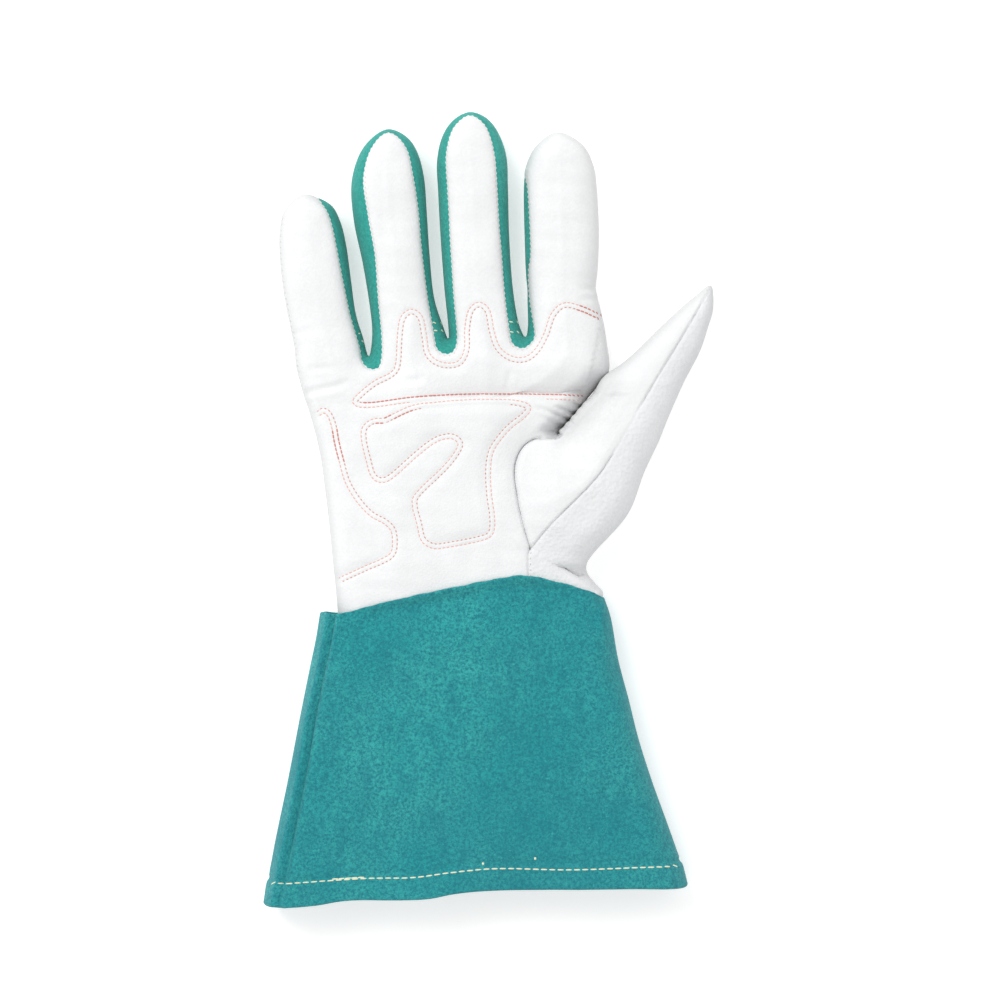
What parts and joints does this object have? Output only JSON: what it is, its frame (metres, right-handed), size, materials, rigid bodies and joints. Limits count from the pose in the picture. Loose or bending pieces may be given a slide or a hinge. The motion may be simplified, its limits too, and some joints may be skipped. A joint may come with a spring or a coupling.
{
  "type": "welding glove",
  "caption": "Right-hand leather welding glove with suede gauntlet cuff, side-walled fingers and palm patches, bending at wrist, knuckles and finger joints.",
  "frame": {"origin": "centre of the glove's outline, on the surface that the back of the glove lies on", "axes": "+Z out of the palm, +Y along the fingers, +X towards the thumb"},
  "size_m": [0.1846, 0.3201, 0.0285],
  "materials": {
    "white_leather": "soft full grain, matt",
    "patch_leather": "soft full grain, matt",
    "green_suede": "split leather, napped",
    "green_strip": "split leather, napped",
    "pink_thread": "twisted sewing thread",
    "cream_thread": "twisted sewing thread"
  },
  "bodies": {
    "hand": {"palm_panel": "white_leather", "back_panel": "white_leather", "thumb_wing_left": "white_leather", "thumb_wing_right": "white_leather", "knuckle_patch": "patch_leather", "palm_patch": "patch_leather", "heel_patch": "patch_leather", "palm_stitching": "pink_thread", "wrist_fold": "green_suede", "little_knuckle_fold": "white_leather", "ring_knuckle_fold": "white_leather", "middle_knuckle_fold": "white_leather", "index_knuckle_fold": "white_leather", "thumb_knuckle_fold": "white_leather"},
    "cuff": {"cuff_front": "green_suede", "cuff_back": "green_suede", "cuff_hem": "green_suede", "hem_stitching": "cream_thread"},
    "little_base": {"little_base_front": "white_leather", "little_base_back": "white_leather", "little_base_strip_right": "green_strip", "little_middle_fold": "white_leather"},
    "little_tip": {"little_tip_front": "white_leather", "little_tip_back": "white_leather", "little_tip_strip": "green_strip"},
    "ring_base": {"ring_base_front": "white_leather", "ring_base_back": "white_leather", "ring_base_strip_left": "green_strip", "ring_base_strip_right": "green_strip", "ring_middle_fold": "white_leather"},
    "ring_tip": {"ring_tip_front": "white_leather", "ring_tip_back": "white_leather", "ring_tip_strip": "green_strip"},
    "middle_base": {"middle_base_front": "white_leather", "middle_base_back": "white_leather", "middle_base_strip_left": "green_strip", "middle_base_strip_right": "green_strip", "middle_middle_fold": "white_leather"},
    "middle_tip": {"middle_tip_front": "white_leather", "middle_tip_back": "white_leather", "middle_tip_strip": "green_strip"},
    "index_base": {"index_base_front": "white_leather", "index_base_back": "white_leather", "index_base_strip_left": "green_strip", "index_middle_fold": "white_leather"},
    "index_tip": {"index_tip_front": "white_leather", "index_tip_back": "white_leather", "index_tip_strip": "green_strip"},
    "thumb_base": {"thumb_base_left": "white_leather", "thumb_base_right": "white_leather", "thumb_middle_fold": "white_leather"},
    "thumb_tip": {"thumb_tip_left": "white_leather", "thumb_tip_right": "white_leather"}
  },
  "joints": [
    {"name": "wrist_bend", "type": "hinge", "parent": "hand", "child": "cuff", "pos_m": [-0.009, -0.043, 0.014], "axis": [-1, 0, 0], "range_deg": [-35, 40], "deforming": ["wrist_fold"]},
    {"name": "little_knuckle_bend", "type": "hinge", "parent": "hand", "child": "little_base", "pos_m": [-0.0655, 0.0713, 0.016], "axis": [0.9882, 0.153, 0], "range_deg": [-10, 70], "deforming": ["little_knuckle_fold"]},
    {"name": "little_middle_bend", "type": "hinge", "parent": "little_base", "child": "little_tip", "pos_m": [-0.06942, 0.0966, 0.016], "axis": [0.9882, 0.153, 0], "range_deg": [0, 75], "deforming": ["little_middle_fold"]},
    {"name": "ring_knuckle_bend", "type": "hinge", "parent": "hand", "child": "ring_base", "pos_m": [-0.0331, 0.0754, 0.016], "axis": [0.994, 0.1097, 0], "range_deg": [-10, 70], "deforming": ["ring_knuckle_fold"]},
    {"name": "ring_middle_bend", "type": "hinge", "parent": "ring_base", "child": "ring_tip", "pos_m": [-0.03723, 0.11277, 0.016], "axis": [0.994, 0.1097, 0], "range_deg": [0, 75], "deforming": ["ring_middle_fold"]},
    {"name": "middle_knuckle_bend", "type": "hinge", "parent": "hand", "child": "middle_base", "pos_m": [-0.0026, 0.0784, 0.016], "axis": [0.9976, 0.0698, 0], "range_deg": [-10, 70], "deforming": ["middle_knuckle_fold"]},
    {"name": "middle_middle_bend", "type": "hinge", "parent": "middle_base", "child": "middle_tip", "pos_m": [-0.00536, 0.1179, 0.016], "axis": [0.9976, 0.0698, 0], "range_deg": [0, 75], "deforming": ["middle_middle_fold"]},
    {"name": "index_knuckle_bend", "type": "hinge", "parent": "hand", "child": "index_base", "pos_m": [0.0307, 0.0784, 0.016], "axis": [0.9994, 0.0349, 0], "range_deg": [-10, 70], "deforming": ["index_knuckle_fold"]},
    {"name": "index_middle_bend", "type": "hinge", "parent": "index_base", "child": "index_tip", "pos_m": [0.02946, 0.11398, 0.016], "axis": [0.9994, 0.0349, 0], "range_deg": [0, 75], "deforming": ["index_middle_fold"]},
    {"name": "thumb_knuckle_bend", "type": "hinge", "parent": "hand", "child": "thumb_base", "pos_m": [0.0529, 0.0344, 0.016], "axis": [0.8192, -0.5736, 0], "range_deg": [-10, 35], "deforming": ["thumb_knuckle_fold"]},
    {"name": "thumb_middle_bend", "type": "hinge", "parent": "thumb_base", "child": "thumb_tip", "pos_m": [0.07011, 0.05897, 0.016], "axis": [0.8192, -0.5736, 0], "range_deg": [0, 45], "deforming": ["thumb_middle_fold"]}
  ]
}
